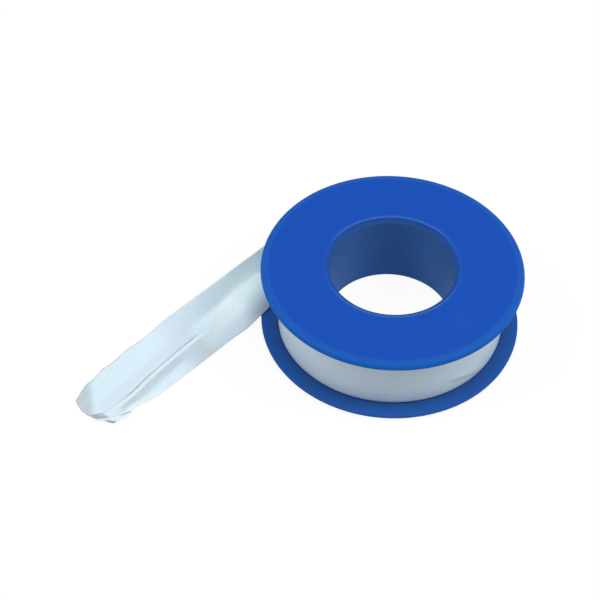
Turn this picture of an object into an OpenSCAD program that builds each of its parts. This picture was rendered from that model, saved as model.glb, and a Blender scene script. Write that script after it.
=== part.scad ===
// Roll of thread seal tape: a snap-together flanged spool, the tape wound on it, and its loose end.
// Millimetres, +Z up. The origin is on the spool's axis, in the plane of its lower face.

/* [Tape] */
// Width of the tape
tape_w = 12.7; // [8:0.1:20]
// Thickness of one layer of tape
tape_t = 0.075; // [0.05:0.005:0.1]
// Length of tape wound on the spool
tape_len = 12000; // [6000:500:15000]
// Gap between the edge of the tape and each flange
side_gap = 0.25; // [0.1:0.05:1]
// Running clearance between the winding and its loose outer turn
turn_gap = 0.05; // [0.03:0.01:0.2]

/* [Spool] */
// Outside diameter of both flanges
flange_d = 50; // [46:0.5:70]
// Thickness of a flange
flange_t = 1.2; // [0.9:0.1:3]
// Diameter of the bore through the spool
bore_d = 24; // [16:0.5:26]
// Wall of the inner tube, moulded with the upper flange
tube_wall = 0.8; // [0.6:0.05:1.5]
// Wall of the outer sleeve, moulded with the lower flange
sleeve_wall = 0.75; // [0.5:0.05:1.5]
// Fit clearance between the spool's halves, and between sleeve and tape
fit_gap = 0.05; // [0.03:0.01:0.15]
// Radius of the outside edge of a flange's rim
rim_r = 1.0; // [0.2:0.05:1.2]
// Radius of the tape-side edge of a flange's rim
rim_inner_r = 0.15; // [0.05:0.05:0.5]
// Radius of the bore's upper mouth
mouth_r = 1.0; // [0.1:0.05:1.5]
// Fillet between the sleeve and its flange
root_r = 0.2; // [0.1:0.05:0.25]

/* [Snap lip] */
// How far the lip stands out from the inner tube
lip_out = 0.4; // [0.2:0.05:0.7]
// Height of the lip
lip_h = 0.7; // [0.4:0.05:0.8]
// Radius of the bore's lower mouth, inside the lip
lip_mouth_r = 0.4; // [0.1:0.05:0.6]
// Lead-in chamfer on the lip
lip_lead = 0.15; // [0.05:0.05:0.3]

/* [Loose end] */
// Direction of the radius at which the tape leaves the winding, in degrees
leave_angle = 137; // [0:0.1:360]
// Angle past that radius which the outer turn leaves bare, in degrees
open_angle = 48; // [40:1:90]
// Length of the loose end, measured from the winding
tail_len = 57.5; // [45:0.5:120]
// Length past the rim in which the loose end comes to lie flat
settle_past_rim = 25; // [12:0.5:30]
// Length past the rim in which its lower edge comes down
drop_len = 5; // [4:0.5:20]
// Clearance under the part of the loose end that lies flat
rest_gap = 0.25; // [0.05:0.05:1]
// Height of the crease along the loose end
crease_h = 0.6; // [0.1:0.05:2]
// Length of the slanting tear at the lower corner
low_tear_len = 13; // [8:0.5:25]
// Length of the rounded tear at the upper corner
top_tear_len = 9.5; // [3:0.5:15]

/* [Hidden] */
$fn = 128;
overrun = 0.5;

spool_blue = [0.11, 0.30, 0.68];
tape_white = [0.90, 0.94, 0.97];

// Heights of the spool and of the tape between its flanges
tape_low_z = flange_t + side_gap;
tape_top_z = tape_low_z + tape_w;
spool_h = tape_top_z + side_gap + flange_t;

// Radii from the bore outwards
bore_r = bore_d / 2;
tube_r = bore_r + tube_wall;
lip_r = tube_r + lip_out;
sleeve_in_r = tube_r + fit_gap;
hub_r = sleeve_in_r + sleeve_wall;
flange_r = flange_d / 2;
// The winding's cross-section holds the length of tape, layer on layer
pack_r = sqrt(pow(hub_r, 2) + tape_len * tape_t / PI);
turn_in_r = pack_r + turn_gap;
turn_mid_r = turn_in_r + tape_t / 2;

// Edge radii, limited by the wall that carries them
rim_limit_share = 0.85;
rim_inner_limit_share = 0.14;
mouth_limit_share = 0.85;
rim_edge_r = min(rim_r, flange_t * rim_limit_share);
rim_inner_edge_r = min(rim_inner_r, flange_t * rim_inner_limit_share);
mouth_edge_r = min(mouth_r, flange_t * mouth_limit_share);

// Loose end: its lower part lies flat, its upper part stands up at the winding and lies down past the rim
rest_z = rest_gap + tape_t / 2;
low_swing_share = 0.283;
low_swing = low_swing_share * tape_w;
rim_exit = sqrt(pow(flange_r, 2) - pow(turn_mid_r - low_swing, 2));
settle_len = rim_exit + settle_past_rim;
// Run in which the lower edge swings in, and how far it lags at first, to pass outside the winding
swing_run_share = 0.80;
swing_lag_share = 0.3;
low_swing_len = swing_run_share * sqrt(6 * low_swing * turn_mid_r);
// Where the fold crosses the strip: share of the settling length, share of the width from the lower edge
fold_shares = [
    [0, 0], [0.05, 0.04], [0.1, 0.13], [0.14, 0.24], [0.19, 0.36], [0.24, 0.46], [0.29, 0.53],
    [0.38, 0.58], [0.45, 0.60], [0.53, 0.62], [0.76, 0.61], [1, 0.58]
];
// How steeply the part above the fold stands: share of the settling length, angle in degrees
lean_angle = [
    [0, 90], [0.19, 85], [0.24, 80], [0.285, 74], [0.33, 68], [0.38, 63], [0.43, 60], [0.475, 55], [0.52, 50],
    [0.59, 41], [0.64, 35], [0.71, 26], [0.81, 15], [0.88, 9], [0.97, 3], [1.03, 0]
];
// The upper edge is drawn taut: the part above the fold narrows where it would stand out past a slanting line
edge_bulge_share = 0.075;
edge_start_share = 0.19;
edge_fall_share = 1.465;
edge_reach = turn_mid_r - low_swing + (1 + edge_bulge_share) * tape_w;
// How high the part below the fold is crowned: share of the settling length, share of the width
crown_shares = [[0.12, 0], [0.3, 0.07], [0.42, 0.08], [0.55, 0.055], [0.75, 0.02], [0.95, 0]];
smooth_share = 0.06;
// Half width of the fold's rounding, and its limit near the lower edge as a share of the fold's place
bend_share = 0.06;
bend_limit_share = 0.3;
// Where the crease crosses the strip: share of the whole length, share of the width from the lower edge
crease_shares = [
    [0.4, 0.42], [0.52, 0.395], [0.57, 0.404], [0.65, 0.393], [0.72, 0.364], [0.79, 0.342], [1, 0.33]
];
crease_half_share = 0.17;
crease_start_share = 0.35;
crease_full_share = 0.58;
crease_fade_share = 0.65;
// Share of the crease's height that is left at the tip
crease_end_share = 0.3;
// How much of the width each tear takes at the tip
low_tear_share = 0.50;
top_tear_share = 0.44;
// Grid of the strip: its rings crowd towards the torn tip
tail_ring_count = 40;
tail_col_count = 12;
crowd_share = 0.6;

// Runs smoothly from 0 to 1 as x does
function ease(x) = let (c = min(1, max(0, x))) c * c * (3 - 2 * c);

// Reads a table of pairs with its corners smoothed
function read_smooth(table, x) =
    let (step = min(smooth_share, x) / 2)
    (lookup(x - 2 * step, table) + 2 * lookup(x - step, table) + 2 * lookup(x, table)
        + 2 * lookup(x + step, table) + lookup(x + 2 * step, table)) / 8;

// Places across the strip are [distance from the axis's plane, height], s is the distance along it
function low_edge(s) =
    [
        turn_mid_r - low_swing * pow(ease(s / low_swing_len), 1 + swing_lag_share),
        tape_low_z - (tape_low_z - rest_z) * ease((s - rim_exit) / drop_len)
    ];

// Height of the crease that runs along the part of the strip that lies down
function crease_lift(s, v) =
    let (
        x = s / tail_len,
        grown = ease((x - crease_start_share) / (crease_full_share - crease_start_share)),
        sunk = (1 - crease_end_share) * ease((x - crease_fade_share) / (1 - crease_fade_share)),
        off = abs(v - lookup(x, crease_shares))
    )
    crease_h * grown * (1 - sunk) * (1 - ease(off / crease_half_share));

// Height of the crown between the lower edge and the fold
function crown_lift(s, v, fold) =
    v < fold ? tape_w * read_smooth(crown_shares, s / settle_len) * sin(180 * v / fold) : 0;

// Share of its full width that the part above the fold keeps
function upper_share(s, foot, full, lean) =
    let (
        room = edge_reach - (foot.y - rest_z) / edge_fall_share - foot.x,
        taut = room / (cos(lean) + sin(lean) / edge_fall_share)
    )
    1 - max(0, 1 - taut / full) * ease(s / (edge_start_share * settle_len));

// Middle of the tape's thickness, at distance s along it and share v of its width
function section_point(s, v) =
    let (
        fold = read_smooth(fold_shares, s / settle_len),
        lean = read_smooth(lean_angle, s / settle_len),
        flat_way = [1, 0],
        lean_way = [cos(lean), sin(lean)],
        bend = min(bend_share, bend_limit_share * fold),
        foot = low_edge(s) + fold * tape_w * flat_way,
        off = (v - fold) * (v < fold ? 1 : upper_share(s, foot, (1 - fold) * tape_w, lean)),
        arc = sqrt(off * off + bend * bend)
    )
    foot + tape_w * (off * (flat_way + lean_way) + arc * (lean_way - flat_way)) / 2
        + [0, crease_lift(s, v) + crown_lift(s, v, fold)];

// Unit vector across the tape's thickness, away from the winding
v_step_share = 0.02;
function section_normal(s, v) =
    let (
        before = section_point(s, max(0, v - v_step_share)),
        after = section_point(s, min(1, v + v_step_share)),
        along = (after - before) / norm(after - before)
    )
    [along.y, -along.x];

// The torn tip: share of the width that is gone at distance s, over a tear of the given length
function torn(s, tear_len) =
    let (x = min(1, max(0, 1 - (tail_len - s) / tear_len)))
    1 - sqrt(1 - x * x);
function v_at(s, share) =
    let (
        v_low = low_tear_share * torn(s, low_tear_len),
        v_top = 1 - top_tear_share * torn(s, top_tear_len)
    )
    v_low + (v_top - v_low) * share;

function ring_s(i) =
    let (u = i / tail_ring_count)
    tail_len * u * (1 + crowd_share * (1 - u));
function tail_point(s, v, side) =
    let (p = section_point(s, v) + side * tape_t / 2 * section_normal(s, v))
    [
        p.x * cos(leave_angle) - s * sin(leave_angle),
        p.x * sin(leave_angle) + s * cos(leave_angle),
        p.y
    ];

// Waste outside a rounded corner at the origin; the corner points to +X and -Y
module corner_waste(r) {
    difference() {
        translate([-r, -overrun]) square(r + overrun);
        translate([-r, r]) circle(r);
    }
}

// Flange lying on the X axis, rounded at its rim: the outside face is below
module flange_profile(inner_r) {
    difference() {
        translate([inner_r, 0]) square([flange_r - inner_r, flange_t]);
        translate([flange_r, 0]) corner_waste(rim_edge_r);
        translate([flange_r, flange_t]) mirror([0, 1]) corner_waste(rim_inner_edge_r);
    }
}

// Flange with the inner tube, whose lip snaps into the other half: the outside face is below
module tube_half_profile() {
    difference() {
        union() {
            flange_profile(bore_r);
            translate([bore_r, 0]) square([tube_wall, spool_h]);
            translate([bore_r, spool_h - lip_h]) square([tube_wall + lip_out, lip_h]);
        }
        translate([bore_r, 0]) mirror([1, 0]) corner_waste(mouth_edge_r);
        translate([bore_r, spool_h]) mirror([1, 0]) mirror([0, 1]) corner_waste(lip_mouth_r);
        polygon([
            [lip_r - lip_lead, spool_h],
            [lip_r + overrun, spool_h - lip_lead - overrun],
            [lip_r + overrun, spool_h + overrun],
            [lip_r - lip_lead, spool_h + overrun]
        ]);
    }
}

// Upper flange with the tube that lines the bore
module upper_spool_half() {
    color(spool_blue)
    rotate_extrude()
    translate([0, spool_h]) mirror([0, 1]) tube_half_profile();
}

// Lower flange with the sleeve that the tape is wound on, and a seat for the lip in its outside face
module lower_spool_half() {
    color(spool_blue)
    rotate_extrude()
    difference() {
        union() {
            flange_profile(sleeve_in_r);
            translate([sleeve_in_r, flange_t]) square([sleeve_wall, spool_h - 2 * flange_t]);
            translate([hub_r, flange_t]) difference() {
                square(root_r);
                translate([root_r, root_r]) circle(root_r);
            }
        }
        translate([0, -overrun]) square([lip_r + fit_gap, lip_h + fit_gap + overrun]);
    }
}

// Wound tape under the outer turn
module tape_pack() {
    color(tape_white)
    translate([0, 0, tape_low_z])
    difference() {
        cylinder(h = tape_w, r = pack_r);
        translate([0, 0, -overrun]) cylinder(h = tape_w + 2 * overrun, r = hub_r + fit_gap);
    }
}

// Outer turn of the tape, up to the radius where it leaves the winding
module outer_turn() {
    color(tape_white)
    rotate([0, 0, leave_angle + open_angle])
    rotate_extrude(angle = 360 - open_angle)
    translate([turn_in_r, tape_low_z]) square([tape_t, tape_w]);
}

// Loose end: upright where it leaves the winding, folding down past the rim, creased and torn
module tape_tail() {
    row = tail_col_count + 1;
    sheet = (tail_ring_count + 1) * row;
    points = [
        for (side = [1, -1])
        for (i = [0 : tail_ring_count])
        for (j = [0 : tail_col_count])
        let (s = ring_s(i))
        tail_point(s, v_at(s, j / tail_col_count), side)
    ];
    outer_faces = [
        for (i = [0 : tail_ring_count - 1])
        for (j = [0 : tail_col_count - 1])
        let (a = i * row + j)
        for (face = [[a, a + 1, a + row], [a + 1, a + row + 1, a + row]])
        face
    ];
    inner_faces = [for (f = outer_faces) [f[2] + sheet, f[1] + sheet, f[0] + sheet]];
    // Indices of the sheet's border, once round
    border = [
        for (i = [0 : tail_ring_count]) i * row,
        for (j = [1 : tail_col_count]) tail_ring_count * row + j,
        for (i = [1 : tail_ring_count]) (tail_ring_count - i) * row + tail_col_count,
        for (j = [1 : tail_col_count - 1]) tail_col_count - j
    ];
    edge_faces = [
        for (k = [0 : len(border) - 1])
        let (a = border[k], b = border[(k + 1) % len(border)])
        for (face = [[a, b, b + sheet], [a, b + sheet, a + sheet]])
        face
    ];
    color(tape_white)
    polyhedron(points = points, faces = concat(outer_faces, inner_faces, edge_faces));
}

// Least gap between the loose end and the start of the outer turn, measured on points
gap_step_count = 48;
gap_from_share = 0.1;
gap_turn_share = 0.5;
turn_points = [
    for (k = [0 : gap_step_count])
    for (z = [tape_low_z, (tape_low_z + tape_top_z) / 2, tape_top_z])
    let (angle = leave_angle + open_angle + (360 - open_angle) * gap_turn_share * k / gap_step_count)
    [turn_mid_r * cos(angle), turn_mid_r * sin(angle), z]
];
loose_points = [
    for (k = [0 : gap_step_count])
    for (share = [0, 0.25, 0.5, 0.75, 1])
    let (s = tail_len * (gap_from_share + (1 - gap_from_share) * k / gap_step_count))
    tail_point(s, v_at(s, share), 0)
];
least_gap = min([for (p = loose_points) min([for (q = turn_points) norm(p - q)])]) - tape_t;
echo(least_gap_of_the_tape_to_itself = least_gap);

lower_spool_half();
upper_spool_half();
tape_pack();
outer_turn();
tape_tail();
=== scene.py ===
from math import cos, degrees, pi, radians, sin, sqrt

import bmesh
import bpy
from mathutils import Matrix, Vector, noise


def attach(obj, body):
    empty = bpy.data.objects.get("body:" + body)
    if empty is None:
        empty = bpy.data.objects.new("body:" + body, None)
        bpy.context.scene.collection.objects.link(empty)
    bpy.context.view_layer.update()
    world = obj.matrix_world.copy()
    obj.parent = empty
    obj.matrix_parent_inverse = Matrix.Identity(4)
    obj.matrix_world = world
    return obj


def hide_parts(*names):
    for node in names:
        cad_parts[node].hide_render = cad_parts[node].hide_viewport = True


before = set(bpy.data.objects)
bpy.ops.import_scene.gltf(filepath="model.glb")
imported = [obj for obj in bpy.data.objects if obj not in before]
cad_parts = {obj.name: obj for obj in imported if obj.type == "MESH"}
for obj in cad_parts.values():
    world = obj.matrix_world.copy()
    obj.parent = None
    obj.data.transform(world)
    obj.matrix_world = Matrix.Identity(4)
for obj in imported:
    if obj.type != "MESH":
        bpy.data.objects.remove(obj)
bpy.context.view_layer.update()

MM = 0.001

# Tape and winding, as in the part's source
TAPE_WIDTH = 12.7 * MM
TAPE_THICK = 0.075 * MM
TAPE_WOUND = 12000 * MM
TAPE_LOW = 1.45 * MM
TAPE_TOP = TAPE_LOW + TAPE_WIDTH
HUB_R = 13.6 * MM
FIT_GAP = 0.05 * MM
TURN_GAP = 0.05 * MM
FLANGE_R = 25.0 * MM
PACK_R = sqrt(HUB_R ** 2 + TAPE_WOUND * TAPE_THICK / pi)
TURN_R = PACK_R + TURN_GAP + TAPE_THICK / 2

# Outer turn and loose end, as in the part's source: where the tape leaves the winding, the part of the turn
# left open, and the lengths in which the loose end swings in, drops past the rim and settles
LEAVE = radians(137)
OPEN = radians(48)
TURN_LENGTH = TURN_R * (2 * pi - OPEN)
TAIL_LENGTH = 57.5 * MM
REST_Z = 0.25 * MM + TAPE_THICK / 2
LOW_SWING = 0.283 * TAPE_WIDTH
LOW_SWING_LENGTH = 0.80 * sqrt(6 * LOW_SWING * TURN_R)
SWING_LAG_POWER = 1.3
RIM_EXIT = sqrt(FLANGE_R ** 2 - (TURN_R - LOW_SWING) ** 2)
SETTLE_LENGTH = RIM_EXIT + 25 * MM
DROP_LENGTH = 5 * MM

# Form of the loose end, nearer to the photo than the part's source.
# Fold's place across the width, lean of the part above it in degrees, and crown of the part below it as a
# share of the width, each by share of the settling length
FOLD = (
    (0, 0), (0.05, 0.05), (0.1, 0.17), (0.14, 0.30), (0.19, 0.44), (0.24, 0.55), (0.29, 0.62),
    (0.38, 0.65), (0.45, 0.65), (0.53, 0.64), (0.76, 0.61), (1, 0.58)
)
LEAN = (
    (0, 90), (0.19, 85), (0.24, 80), (0.285, 74), (0.33, 68), (0.38, 63), (0.43, 60), (0.475, 55), (0.52, 50),
    (0.59, 41), (0.64, 35), (0.71, 26), (0.81, 15), (0.88, 9), (0.97, 3), (1.03, 0)
)
CROWN = ((0.12, 0), (0.3, 0.07), (0.42, 0.08), (0.55, 0.055), (0.75, 0.02), (0.95, 0))
SMOOTH_SHARE = 0.06
# Half width of the fold's rounding as a share of the width, wider where the tape comes off the winding,
# and its limit as a share of the fold's place
BEND = 0.08
BEND_AT_EXIT = 0.22
BEND_LIMIT = 0.42
# Slight wander of the lower edge, in millimetres by millimetres along the loose end
WANDER = (
    (12, 0), (16.5, -0.2), (19, -0.2), (20.5, -0.05), (22.5, 0.32), (36, 0.36), (39, 0.46), (43, 0.5),
    (46.5, 0), (50, -0.05)
)
# Slanting line that the taut upper edge keeps to, and the length in which it comes to the line
EDGE_REACH = TURN_R - LOW_SWING + 1.055 * TAPE_WIDTH
EDGE_FALL = 1.465
EDGE_START = 0.19 * SETTLE_LENGTH
# The strip's middle never lies lower than this
LEAST_Z = 0.08 * MM
# Where the crease crosses the width, by share of the loose end's length
CREASE = (
    (0.4, 0.40), (0.52, 0.373), (0.57, 0.387), (0.65, 0.364), (0.72, 0.333), (0.79, 0.328), (1, 0.33)
)
# Share of the width at which each torn edge runs, by millimetres along the loose end
TORN_LOW = (
    (42, 0), (44.5, 0.012), (47, 0.05), (50, 0.105), (51.3, 0.08), (52.7, 0.07), (53.5, 0.085), (54.1, 0.095),
    (54.9, 0.105), (55.5, 0.12), (55.9, 0.155), (56.5, 0.225), (57.5, 0.34)
)
TORN_TOP = (
    (31, 1), (34.5, 0.973), (37, 0.962), (39, 0.966), (40.5, 0.976), (42.2, 0.972), (45, 0.983), (47.3, 1.01),
    (49.6, 0.975), (52.75, 0.942), (54.6, 0.905), (56.65, 0.848), (57.3, 0.817), (57.5, 0.79)
)
# How far the torn end falls short, in millimetres by share of the width
END_SHORT = ((0.33, 1.1), (0.41, 0.97), (0.487, 1.0), (0.576, 0.75), (0.66, 0.8), (0.743, 0.95), (0.79, 1.15))
# Slanting wrinkle in the outer turn: height in millimetres by angle in degrees
WRINKLE = ((-64, 4.6), (-59.4, 4.37), (-55.5, 3.99), (-50.8, 3.45), (-47.3, 3.04), (-43.3, 2.3), (-39.6, 1.58))

# Grid of the strip: rows along it, the share of them in the outer turn, and columns across it, which crowd
# at the crease
STRIP_ROWS, TURN_ROWS_SHARE = 420, 0.42
STRIP_COLS, CROWDING = 56, 1.35
# Steps shown on the winding's ends, and faces round it
WOUND_STEPS, ROUND_STEPS = 36, 180

# Camera fitted to the outlines in the photo: its tilt and roll, where the origin lies from it, and its focal
# length in pixels of a square picture
CAMERA_TILT, CAMERA_ROLL = radians(47.85), radians(-0.53)
ORIGIN_RIGHT, ORIGIN_DOWN, ORIGIN_AHEAD = 17.42 * MM, 3.89 * MM, 329.03 * MM
FOCAL_PIXELS, PICTURE_PIXELS, SENSOR_MM = 1680, 600, 36
LAMPS_AIM = (-0.01, 0, 0)

# Radii between which the spool's blue is given, and the share of the way between them with the blue there
BLUE_FROM, BLUE_TO = 11.5 * MM, 25.5 * MM
# Upper half's blue at front and back, at the sides, and on the face: painted highlights on the bore's mouth
# and the rim, painted shade on the bore wall, which is painted lighter at the sides
UPPER_MOUTH = (
    (0.036, (0.046, 0.164, 0.460, 1)), (0.045, (0.028, 0.101, 0.368, 1)), (0.061, (0.010, 0.064, 0.291, 1)),
    (0.079, (0.003, 0.050, 0.290, 1)), (0.086, (0.010, 0.077, 0.336, 1)), (0.097, (0.034, 0.138, 0.455, 1)),
    (0.114, (0.030, 0.128, 0.455, 1)),
)
UPPER_MOUTH_SIDES = (
    (0.036, (0.035, 0.137, 0.420, 1)), (0.041, (0.018, 0.100, 0.425, 1)), (0.050, (0.021, 0.108, 0.438, 1)),
    (0.068, (0.011, 0.085, 0.391, 1)), (0.079, (0.006, 0.074, 0.385, 1)), (0.089, (0.0135, 0.094, 0.425, 1)),
    (0.107, (0.0127, 0.089, 0.430, 1)),
)
UPPER_FACE = (
    (0.135, (0.0075, 0.077, 0.460, 1)), (0.850, (0.0075, 0.078, 0.465, 1)), (0.872, (0.016, 0.102, 0.460, 1)),
    (0.910, (0.008, 0.098, 0.475, 1)), (0.936, (0.005, 0.118, 0.535, 1)), (0.965, (0.006, 0.114, 0.525, 1)),
)
# Lower half's blue: painted shade on the flange next to the winding, lighter towards the bore
LOWER_BLUE = (
    (0.030, (0.045, 0.158, 0.450, 1)), (0.700, (0.021, 0.097, 0.340, 1)), (0.800, (0.021, 0.099, 0.350, 1)),
    (0.893, (0.018, 0.104, 0.400, 1)), (0.965, (0.018, 0.107, 0.415, 1)),
)


def ease(x):
    """0 below 0 and 1 above 1, with a smooth rise between."""
    c = min(1.0, max(0.0, x))
    return c * c * (3 - 2 * c)


def read_off(table, x):
    """The table's value at x, on straight lines between its rows."""
    if x <= table[0][0]:
        return table[0][1]
    for (x0, y0), (x1, y1) in zip(table, table[1:]):
        if x <= x1:
            return y0 + (y1 - y0) * (x - x0) / (x1 - x0)
    return table[-1][1]


def read_smooth(table, x, reach):
    """The table's value with its corners smoothed."""
    step = min(reach, x) / 2
    shares = ((-2, 1), (-1, 2), (0, 2), (1, 2), (2, 1))
    return sum(weight * read_off(table, x + side * step) for side, weight in shares) / 8


def crest_share(along):
    """Where the crease crosses the width."""
    return read_smooth(CREASE, along / TAIL_LENGTH, 0.05)


def low_edge(along):
    """Distance of the lower edge from the axis, across the loose end, and its height."""
    drop = ease((along - RIM_EXIT) / DROP_LENGTH)
    swing = LOW_SWING * ease(along / LOW_SWING_LENGTH) ** SWING_LAG_POWER
    wander = MM * read_smooth(WANDER, along / MM, 2.0)
    return Vector((TURN_R - swing + wander, TAPE_LOW - (TAPE_LOW - REST_Z) * drop))


def stretch(x, start, stop, soft):
    """1 between start and stop, easing to 0 over soft on each side."""
    return ease((x - start) / soft + 0.5) * (1 - ease((x - stop) / soft + 0.5))


def pleat(along, away):
    """Height of the sharp fold along the crease: steep towards the upper edge, easy towards the lower one."""
    grown = ease((along / MM - 22) / 9) * (1 - 0.7 * ease((along / MM - 38) / 19))
    if away > 0:
        shape = 1 - ease(away / (0.7 * MM))
    else:
        shape = 1 - ease((-away - 0.5 * MM) / (2.2 * MM))
    return 0.6 * MM * grown * shape


def above_corner_fold(along, across):
    """Millimetres across the tape from the slanting fold at the torn end's lower corner."""
    return (across - 0.397) * TAPE_WIDTH / MM - 0.65 * (along / MM - 54.6)


def torn_curl(along, across, low_share, top_share):
    """Curl and ripples where the tape was stretched and torn off. Lengths in here are in millimetres."""
    x = along / MM
    in_low = (across - low_share) * TAPE_WIDTH / MM
    in_top = (top_share - across) * TAPE_WIDTH / MM
    end = (TAIL_LENGTH - along) / MM
    curl = 0.55 * ease(1 - in_low / 2.2) * stretch(x, 46, 56.5, 5)
    curl -= 0.35 * ease(1 - in_low / 0.7) * stretch(x, 50.7, 52.5, 0.6)
    curl -= 0.5 * ease(1 - in_low / 0.4) * stretch(x, 54.3, 55.6, 0.6)
    curl += 0.3 * ease(1 - in_top / 1.8) * ease((x - 49) / 4)
    over = above_corner_fold(along, across)
    fold = stretch(over, -1.0, -0.3, 0.4) - stretch(over, 0.1, 0.6, 0.4)
    curl += 0.25 * fold * ease((x - 53.8) / 1.2)
    wave = 0.16 * sin(2.6 * across * TAPE_WIDTH / MM + 0.7 * x) * ease(1 - end / 5)
    return (curl + wave) * MM


def painted_shading(along, across, crest, low_share):
    """Painted light and shade on the loose end: above 0 painted shade, greyer; below 0 painted light, whiter.

    Lengths in here are in millimetres; below_fold is a share of the part below the fold.
    """
    x = along / MM
    away = (across - crest) * TAPE_WIDTH / MM
    in_low = (across - low_share) * TAPE_WIDTH / MM
    lower = ease(0.5 - away / 1.2)
    # Painted shade between the crease and each edge, just past the rim
    shade_paint = 0.15 * (1 - lower) * stretch(x, 27, 34, 6)
    shade_paint += 0.36 * lower * stretch(x, 28.5, 35, 5)
    # Painted light along the crown and above the fold, painted shade at the lower edge where the tape leaves
    # the rim under the flange
    off_winding = ease((x - 1) / 4)
    below_fold = across / max(0.05, read_smooth(FOLD, along / SETTLE_LENGTH, SMOOTH_SHARE))
    crown_from = 0.85 - 0.0235 * x
    shade_paint -= 0.95 * off_winding * stretch(below_fold, crown_from, 0.95, 0.25) * (1 - ease((x - 22) / 9))
    shade_paint -= 0.95 * off_winding * ease((below_fold - 0.77) / 0.33) * (1 - ease((x - 16) / 9))
    shade_paint += 0.95 * off_winding * (1 - ease(below_fold / 0.47)) * (1 - ease((x - 15) / 8))
    # Crease: a painted shade line, a painted highlight along the ridge below it, then a painted shade hollow,
    # and faint painted shade above the crease
    early = 1 - ease((x - 30) / 8)
    shade_paint += (0.8 + 0.2 * early) * stretch(away, 0.03, 0.46, 0.26) * stretch(x, 29.9, 49, 2.6)
    shade_paint -= (0.05 + 0.95 * early) * stretch(away, -0.75, -0.15, 0.25) * stretch(x, 28, 51, 4)
    hollow = ease((-away - 0.58) / 0.25) * (1 - ease((-away - 1.5) / 1.3))
    shade_paint += 0.52 * hollow * stretch(x, 35, 51.5, 4)
    shade_paint += 0.12 * stretch(away, 0.4, 3.0, 1.5) * stretch(x, 34, 54, 6)
    # Torn end: a painted highlight along the lower edge with painted shade in two curls, and darker towards
    # the end
    shade_paint -= 0.8 * (1 - ease(in_low / 1.7)) * stretch(x, 44, 55.5, 4)
    from_curl = in_low - 0.15 - 0.35 * (x - 50.7)
    shade_paint += 1.7 * stretch(from_curl, -0.15, 0.15, 0.25) * stretch(x, 50.6, 52.7, 0.6)
    shade_paint += 1.6 * (1 - ease((in_low - 0.1) / 0.4)) * stretch(x, 54.2, 55.3, 0.5)
    shade_paint += 0.55 * ease((x - 59.0 + 9.5 * across) / 2.4)
    # Painted shade on the fold at the lower corner and on the facet below it, with a painted highlight streak
    # on the facet
    over = above_corner_fold(along, across)
    shade_paint += 0.7 * stretch(over, -0.3, 0.15, 0.25) * ease((x - 53.6) / 2.2)
    shade_paint += 1.0 * stretch(over, -2.0, -0.2, 0.3) * ease((x - 54.0) / 1.0)
    shade_paint -= 0.55 * stretch(over, -0.9, -0.6, 0.25) * stretch(x, 54.4, 55.8, 0.6)
    return max(-1.0, min(1.0, shade_paint))


def tail_place(along, across, low_share, top_share):
    """A point of the loose end: flat below the fold, standing above it, creased further on."""
    fold = read_smooth(FOLD, along / SETTLE_LENGTH, SMOOTH_SHARE)
    lean = radians(read_smooth(LEAN, along / SETTLE_LENGTH, SMOOTH_SHARE))
    flat_way = Vector((1, 0))
    lean_way = Vector((cos(lean), sin(lean)))
    at_exit = 1 - ease((along / MM - 11) / 10)
    bend = min(BEND + (BEND_AT_EXIT - BEND) * at_exit, BEND_LIMIT * fold)
    foot = low_edge(along) + fold * TAPE_WIDTH * flat_way
    off = across - fold
    if off > 0:
        room = EDGE_REACH - (foot.y - REST_Z) / EDGE_FALL - foot.x
        taut = room / (cos(lean) + sin(lean) / EDGE_FALL)
        full = (1 - fold) * TAPE_WIDTH
        off *= 1 - max(0.0, 1 - taut / full) * ease(along / EDGE_START)
    arc = sqrt(off * off + bend * bend)
    spot = foot + TAPE_WIDTH * (off * (flat_way + lean_way) + arc * (lean_way - flat_way)) / 2
    lift = pleat(along, (across - crest_share(along)) * TAPE_WIDTH)
    if 0 < across < fold:
        crown = read_smooth(CROWN, along / SETTLE_LENGTH, SMOOTH_SHARE)
        lift += TAPE_WIDTH * crown * sin(pi * across / fold)
    lift += torn_curl(along, across, low_share, top_share)
    ripple = noise.noise((along / (5 * MM), across * 3, 0.4))
    lift += 0.07 * MM * ripple * ease((along - RIM_EXIT) / (8 * MM))
    a, z = spot.x, max(spot.y + lift, LEAST_Z)
    return Vector((a * cos(LEAVE) - along * sin(LEAVE), a * sin(LEAVE) + along * cos(LEAVE), z))


def above_wrinkle(run, across):
    """Millimetres above the outer turn's slanting wrinkle, and how strong the wrinkle is there."""
    turned = degrees(LEAVE + run / TURN_R)
    over = (TAPE_LOW + across * TAPE_WIDTH) / MM - read_off(WRINKLE, turned)
    return over, stretch(turned, -60, -43, 8)


def turn_place(run, across):
    """A point of the outer turn; run counts back from the radius where the tape leaves the winding."""
    angle = LEAVE + run / TURN_R
    start = ease((run + TURN_LENGTH) / (6 * MM))
    radius = TURN_R - (TURN_R - PACK_R + TAPE_THICK / 2) * (1 - start)
    over, strength = above_wrinkle(run, across)
    radius += 0.18 * MM * strength * ease(over / 0.3 + 0.5) * (1 - ease(over / 2.5))
    return Vector((radius * cos(angle), radius * sin(angle), TAPE_LOW + across * TAPE_WIDTH))


def strip_row(share):
    """Distance along the tape of a row of the strip's grid, crowded in the loose end."""
    if share < TURN_ROWS_SHARE:
        return -TURN_LENGTH * (1 - share / TURN_ROWS_SHARE)
    return TAIL_LENGTH * (share - TURN_ROWS_SHARE) / (1 - TURN_ROWS_SHARE)


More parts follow.
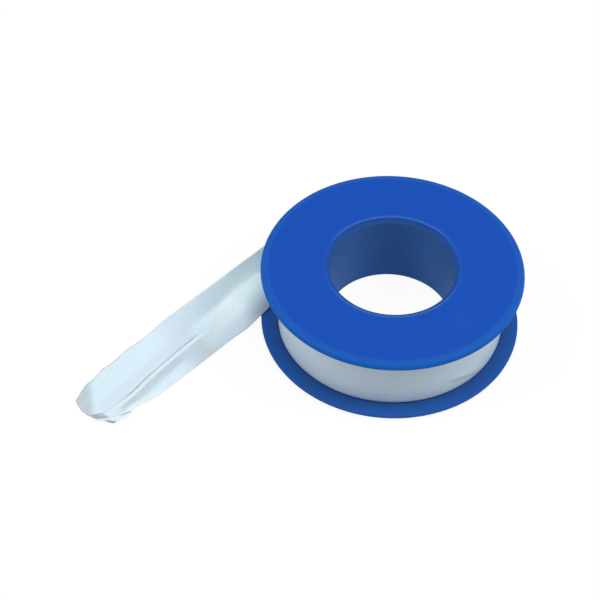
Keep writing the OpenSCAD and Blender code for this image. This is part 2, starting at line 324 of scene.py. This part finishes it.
def strip_point(row_share, col_share):
    """Distance along the tape, share across it, painted shade and light, and place of a point of the strip's
    grid.
    """
    run = strip_row(row_share)
    if run <= 0:
        low_share, top_share = 0.0, 1.0
        crest = 0.5 + (crest_share(0) - 0.5) * ease(1 + run / (20 * MM))
    else:
        ragged = noise.noise((run / (0.9 * MM), 3.1, 0)) * 0.012 * ease((run / MM - 46) / 6)
        ragged_top = noise.noise((run / (0.9 * MM), 7.7, 0)) * 0.012 * ease((run / MM - 47) / 6)
        low_share = read_off(TORN_LOW, run / MM) + ragged
        top_share = read_off(TORN_TOP, run / MM) + ragged_top
        width = top_share - low_share
        crest = min(max(crest_share(run), low_share + 0.2 * width), top_share - 0.2 * width)
    side = 2 * col_share - 1
    spread = abs(side) ** CROWDING
    across = crest + spread * (top_share - crest) if side > 0 else crest - spread * (crest - low_share)
    if run > 0:
        short = read_off(END_SHORT, across) - 0.12 * noise.noise((across * 22, 1.3, 5))
        run -= short * MM * ease((run / MM - 48) / 9.5)
        shade_paint = painted_shading(run, across, crest_share(run), low_share)
        return run, across, shade_paint, tail_place(run, across, low_share, top_share)
    over, strength = above_wrinkle(run, across)
    # Painted shade under the outer turn's slanting wrinkle
    shade_paint = 0.4 * strength * stretch(over, -0.25, 0.1, 0.25)
    return run, across, shade_paint, turn_place(run, across)


def finished(name, bm, material, smooth=True):
    """The finished mesh as an object at the origin."""
    mesh = bpy.data.meshes.new(name)
    bm.to_mesh(mesh)
    bm.free()
    for face in mesh.polygons:
        face.use_smooth = smooth
    piece = bpy.data.objects.new(name, mesh)
    bpy.context.scene.collection.objects.link(piece)
    mesh.materials.append(material)
    return piece


def add(tree, kind, **values):
    """A new node with values for its sockets, or else for its settings."""
    node = tree.nodes.new(kind)
    for key, value in values.items():
        socket = node.inputs.get(key.replace("_", " "))
        if socket is None:
            setattr(node, key, value)
        else:
            socket.default_value = value
    return node


def empty_material(name):
    material = bpy.data.materials.new(name)
    material.use_nodes = True
    material.node_tree.nodes.clear()
    return material, material.node_tree


def map_range(tree, source, limits, **values):
    """The source's value mapped; limits gives the range's own socket names."""
    node = add(tree, "ShaderNodeMapRange", **values)
    for socket, value in limits.items():
        node.inputs[socket].default_value = value
    tree.links.new(source, node.inputs["Value"])
    return node.outputs["Result"]


def blue_by_radius(tree, reach, stops):
    """The blue at each radius: bore wall with painted shade, mouth and rim with painted highlights, face with
    painted shade next to the winding on the lower half.
    """
    ramp = add(tree, "ShaderNodeValToRGB")
    tree.links.new(reach, ramp.inputs["Fac"])
    ramp.color_ramp.elements.remove(ramp.color_ramp.elements[1])
    for spot, colour in stops[1:]:
        ramp.color_ramp.elements.new(spot).color = colour
    ramp.color_ramp.elements[0].position = stops[0][0]
    ramp.color_ramp.elements[0].color = stops[0][1]
    return ramp.outputs["Color"]


def blue_all_round(tree, place, stops, side_stops):
    """The blue by radius, blended from the stops at front and back to those at the sides, where the painted
    shade and highlights differ.
    """
    link = tree.links.new
    flat = add(tree, "ShaderNodeVectorMath", operation="MULTIPLY")
    flat.inputs[1].default_value = (1, 1, 0)
    link(place, flat.inputs[0])
    radius = add(tree, "ShaderNodeVectorMath", operation="LENGTH")
    link(flat.outputs["Vector"], radius.inputs[0])
    reach = map_range(tree, radius.outputs["Value"], {"From Min": BLUE_FROM, "From Max": BLUE_TO})
    blue = blue_by_radius(tree, reach, stops)
    if side_stops is None:
        return blue
    split = add(tree, "ShaderNodeSeparateXYZ")
    link(flat.outputs["Vector"], split.inputs["Vector"])
    from_middle = add(tree, "ShaderNodeMath", operation="ABSOLUTE")
    link(split.outputs["Y"], from_middle.inputs[0])
    facing = add(tree, "ShaderNodeMath", operation="DIVIDE")
    link(from_middle.outputs["Value"], facing.inputs[0])
    link(radius.outputs["Value"], facing.inputs[1])
    # Share of the front and back stops, whose painted highlight and shade differ from those at the sides
    front_back_share = map_range(
        tree, facing.outputs["Value"], {"From Min": 0.3, "From Max": 0.8}, interpolation_type="SMOOTHSTEP"
    )
    blend = add(tree, "ShaderNodeMix", data_type="RGBA")
    share, side_blue, front_blue, result = blend.inputs[0], blend.inputs[6], blend.inputs[7], blend.outputs[2]
    link(front_back_share, share)
    link(blue_by_radius(tree, reach, side_stops), side_blue)
    link(blue, front_blue)
    return result


def moulded_blue(name, stops, side_stops=None):
    """Satin blue moulded plastic, with painted highlights on the rims and on the bore's mouth, less so at the
    sides, and painted shade in the bore and next to the winding.
    """
    material, tree = empty_material(name)
    link = tree.links.new
    out = add(tree, "ShaderNodeOutputMaterial")
    shader = add(tree, "ShaderNodeBsdfPrincipled", Specular_IOR_Level=0.12, Roughness=0.55)
    place = add(tree, "ShaderNodeTexCoord").outputs["Object"]
    # Slow mottling of the pigment
    cloud = add(tree, "ShaderNodeTexNoise", Scale=130.0, Detail=3.0)
    link(place, cloud.inputs["Vector"])
    depth = map_range(tree, cloud.outputs["Fac"], {"To Min": 0.93, "To Max": 1.07})
    tint = add(tree, "ShaderNodeVectorMath", operation="SCALE")
    link(blue_all_round(tree, place, stops, side_stops), tint.inputs[0])
    link(depth, tint.inputs["Scale"])
    link(tint.outputs["Vector"], shader.inputs["Base Color"])
    # Fine grain of the mould
    grain = add(tree, "ShaderNodeTexNoise", Scale=5200.0, Detail=2.0)
    link(place, grain.inputs["Vector"])
    rough = map_range(tree, grain.outputs["Fac"], {"To Min": 0.48, "To Max": 0.62})
    link(rough, shader.inputs["Roughness"])
    bump = add(tree, "ShaderNodeBump", Strength=0.12, Distance=0.03 * MM)
    link(grain.outputs["Fac"], bump.inputs["Height"])
    link(bump.outputs["Normal"], shader.inputs["Normal"])
    link(shader.outputs["BSDF"], out.inputs["Surface"])
    return material


def painted_shading_tone(tree):
    """Painted light and shade on the tape: a little whiter where the painted shading is below 0, greyer where
    it is above 0.
    """
    shade_paint = add(tree, "ShaderNodeAttribute", attribute_name="painted_shading")
    reach = map_range(tree, shade_paint.outputs["Fac"], {"From Min": -1})
    tone = add(tree, "ShaderNodeValToRGB")
    tone.color_ramp.elements[0].color = (1.17, 1.14, 1.06, 1)
    tone.color_ramp.elements[1].color = (0.52, 0.51, 0.51, 1)
    tone.color_ramp.elements.new(0.5).color = (1, 1, 1, 1)
    tree.links.new(reach, tone.inputs["Fac"])
    return tone.outputs["Color"]


def silky_tape(name, source, scale, shading_paint=False):
    """White seal tape: silky, with fine lines along its length, and with painted shade and highlights when
    asked.
    """
    material, tree = empty_material(name)
    link = tree.links.new
    out = add(tree, "ShaderNodeOutputMaterial")
    shader = add(tree, "ShaderNodeBsdfPrincipled", Specular_IOR_Level=0.3, Roughness=0.45)
    place = add(tree, "ShaderNodeTexCoord")
    run = add(tree, "ShaderNodeMapping", Scale=scale)
    link(place.outputs[source], run.inputs["Vector"])
    lines = add(tree, "ShaderNodeTexNoise", Scale=1.0, Detail=4.0, Roughness=0.6)
    link(run.outputs["Vector"], lines.inputs["Vector"])
    ramp = add(tree, "ShaderNodeValToRGB")
    ramp.color_ramp.elements[0].position = 0.32
    ramp.color_ramp.elements[0].color = (0.695, 0.845, 0.930, 1)
    ramp.color_ramp.elements[1].position = 0.62
    ramp.color_ramp.elements[1].color = (0.715, 0.862, 0.948, 1)
    link(lines.outputs["Fac"], ramp.inputs["Fac"])
    # Fine uneven grain
    grain = add(tree, "ShaderNodeTexNoise", Scale=2400.0, Detail=2.0)
    link(place.outputs["Object"], grain.inputs["Vector"])
    mottled = add(tree, "ShaderNodeVectorMath", operation="SCALE")
    link(ramp.outputs["Color"], mottled.inputs[0])
    link(map_range(tree, grain.outputs["Fac"], {"To Min": 0.90, "To Max": 1.10}), mottled.inputs["Scale"])
    colour = mottled.outputs["Vector"]
    # Painted shade and light from the painted shading attribute
    if shading_paint:
        shade = add(tree, "ShaderNodeVectorMath", operation="MULTIPLY")
        link(colour, shade.inputs[0])
        link(painted_shading_tone(tree), shade.inputs[1])
        colour = shade.outputs["Vector"]
    link(colour, shader.inputs["Base Color"])
    rough = map_range(tree, lines.outputs["Fac"], {"To Min": 0.38, "To Max": 0.55})
    link(rough, shader.inputs["Roughness"])
    bump = add(tree, "ShaderNodeBump", Strength=0.2, Distance=0.02 * MM)
    link(lines.outputs["Fac"], bump.inputs["Height"])
    link(bump.outputs["Normal"], shader.inputs["Normal"])
    link(shader.outputs["BSDF"], out.inputs["Surface"])
    return material


def wound_tape(material):
    """The wound ring: its layers show as fine steps on both ends of the winding."""
    bm = bmesh.new()
    corners = []
    for k in range(WOUND_STEPS):
        r0 = HUB_R + FIT_GAP + (PACK_R - HUB_R - FIT_GAP) * k / WOUND_STEPS
        r1 = HUB_R + FIT_GAP + (PACK_R - HUB_R - FIT_GAP) * (k + 1) / WOUND_STEPS
        step = 0.07 * MM * (1 + noise.noise((k * 1.7, 0.3, 0)))
        corners += [(r0, TAPE_LOW + step), (r1, TAPE_LOW + step)]
    ring = corners + [(r, TAPE_LOW + TAPE_TOP - z) for r, z in reversed(corners)]
    verts = [bm.verts.new((r, 0, z)) for r, z in ring]
    edges = [bm.edges.new((a, b)) for a, b in zip(verts, verts[1:] + verts[:1])]
    bmesh.ops.spin(
        bm, geom=verts + edges, cent=(0, 0, 0), axis=(0, 0, 1), angle=2 * pi, steps=ROUND_STEPS, use_merge=True
    )
    bmesh.ops.remove_doubles(bm, verts=bm.verts, dist=0.001 * MM)
    bmesh.ops.recalc_face_normals(bm, faces=bm.faces)
    piece = finished("wound_tape", bm, material)
    piece.data.set_sharp_from_angle(angle=radians(40))
    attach(piece, "spool")
    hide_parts("tape_pack")
    return piece


def loose_tape(material):
    """Outer turn and loose end in one strip, creased and torn."""
    bm = bmesh.new()
    uv = bm.loops.layers.uv.new("along_and_across")
    # Painted shade and light of each point, read by the tape's material
    shading_paint = bm.verts.layers.float.new("painted_shading")
    bmesh.ops.create_grid(bm, x_segments=STRIP_ROWS, y_segments=STRIP_COLS, size=0.5)
    places = {}
    for vert in bm.verts:
        places[vert] = strip_point(vert.co.x + 0.5, vert.co.y + 0.5)
    for face in bm.faces:
        for loop in face.loops:
            run, across = places[loop.vert][:2]
            loop[uv].uv = ((run + TURN_LENGTH) / (TURN_LENGTH + TAIL_LENGTH), across)
    for vert, (_, _, shade_paint, point) in places.items():
        vert.co = point
        vert[shading_paint] = shade_paint
    bmesh.ops.recalc_face_normals(bm, faces=bm.faces)
    piece = finished("loose_tape", bm, material)
    wall = piece.modifiers.new("thickness", "SOLIDIFY")
    wall.thickness = TAPE_THICK
    wall.offset = 0
    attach(piece, "tape_end")
    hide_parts("outer_turn", "tape_tail")
    return piece


def white_for_eyes(tree):
    """1 for rays from the camera or through gloss and glass, 0 for the rays that light the object."""
    link = tree.links.new
    ray = add(tree, "ShaderNodeLightPath")
    first = add(tree, "ShaderNodeMath", operation="MAXIMUM")
    link(ray.outputs["Is Camera Ray"], first.inputs[0])
    link(ray.outputs["Is Glossy Ray"], first.inputs[1])
    both = add(tree, "ShaderNodeMath", operation="MAXIMUM")
    link(first.outputs["Value"], both.inputs[0])
    link(ray.outputs["Is Transmission Ray"], both.inputs[1])
    return both.outputs["Value"]


def pale_floor():
    """A wide pale floor that the camera sees as white, with the object's soft shadow on it."""
    material, tree = empty_material("pale_floor")
    link = tree.links.new
    out = add(tree, "ShaderNodeOutputMaterial")
    board = add(tree, "ShaderNodeBsdfDiffuse", Color=(0.64, 0.64, 0.64, 1))
    glow = add(tree, "ShaderNodeEmission", Color=(1, 1, 1, 1), Strength=1.08)
    seen = add(tree, "ShaderNodeMixShader", Fac=0.84)
    link(board.outputs["BSDF"], seen.inputs[1])
    link(glow.outputs["Emission"], seen.inputs[2])
    pick = add(tree, "ShaderNodeMixShader")
    link(white_for_eyes(tree), pick.inputs["Fac"])
    link(board.outputs["BSDF"], pick.inputs[1])
    link(seen.outputs["Shader"], pick.inputs[2])
    link(pick.outputs["Shader"], out.inputs["Surface"])
    bm = bmesh.new()
    bmesh.ops.create_circle(bm, cap_ends=True, segments=96, radius=4.0)
    bmesh.ops.translate(bm, verts=bm.verts, vec=(0, 0, -0.1 * MM))
    floor = finished("floor", bm, material, smooth=False)


def soft_world():
    """Even light from all round."""
    world = bpy.data.worlds.new("studio")
    bpy.context.scene.world = world
    world.use_nodes = True
    tree = world.node_tree
    tree.nodes.clear()
    out = add(tree, "ShaderNodeOutputWorld")
    fill = add(tree, "ShaderNodeBackground", Color=(0.97, 0.985, 1.0, 1), Strength=0.25)
    tree.links.new(fill.outputs["Background"], out.inputs["Surface"])


def softbox(name, place, size, power):
    """A square lamp that faces the roll."""
    lamp = bpy.data.lights.new(name, "AREA")
    lamp.shape = "SQUARE"
    lamp.size = size
    lamp.energy = power
    box = bpy.data.objects.new(name, lamp)
    bpy.context.scene.collection.objects.link(box)
    box.location = place
    box.rotation_mode = "QUATERNION"
    box.rotation_quaternion = (Vector(LAMPS_AIM) - Vector(place)).to_track_quat("-Z", "Y")


def camera_at_the_photo():
    """Camera fitted to the outlines of the flanges and the bore."""
    right = Vector((1, 0, 0))
    ahead = Vector((0, cos(CAMERA_TILT), -sin(CAMERA_TILT)))
    down = Vector((0, -sin(CAMERA_TILT), -cos(CAMERA_TILT)))
    x = cos(CAMERA_ROLL) * right + sin(CAMERA_ROLL) * down
    y = -(cos(CAMERA_ROLL) * down - sin(CAMERA_ROLL) * right)
    place = -(ORIGIN_RIGHT * x - ORIGIN_DOWN * y + ORIGIN_AHEAD * ahead)
    data = bpy.data.cameras.new("camera")
    data.sensor_width = SENSOR_MM
    data.lens = SENSOR_MM * FOCAL_PIXELS / PICTURE_PIXELS
    data.clip_start = 0.01
    camera = bpy.data.objects.new("camera", data)
    bpy.context.scene.collection.objects.link(camera)
    turn = Matrix((x, y, -ahead)).transposed().to_4x4()
    camera.matrix_world = Matrix.Translation(place) @ turn
    bpy.context.scene.camera = camera


bpy.context.scene.view_settings.view_transform = "Standard"
camera_at_the_photo()
soft_world()
pale_floor()
softbox("top_box", (0.03, -0.11, 0.735), 0.42, 1.95)
softbox("left_box", (-0.54, -0.03, 0.50), 0.35, 1.65)
softbox("right_box", (0.52, -0.06, 0.55), 0.35, 2.2)

for half, stops, side_stops in (
    ("upper_spool_half", UPPER_MOUTH + UPPER_FACE, UPPER_MOUTH_SIDES + UPPER_FACE),
    ("lower_spool_half", LOWER_BLUE, None),
):
    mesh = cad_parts[half].data
    mesh.materials.clear()
    mesh.materials.append(moulded_blue(half + "_blue", stops, side_stops))
wound_tape(silky_tape("wound_silky_tape", "Object", (60, 60, 3000)))
loose_tape(silky_tape("loose_silky_tape", "UV", (10, 42, 1), shading_paint=True))
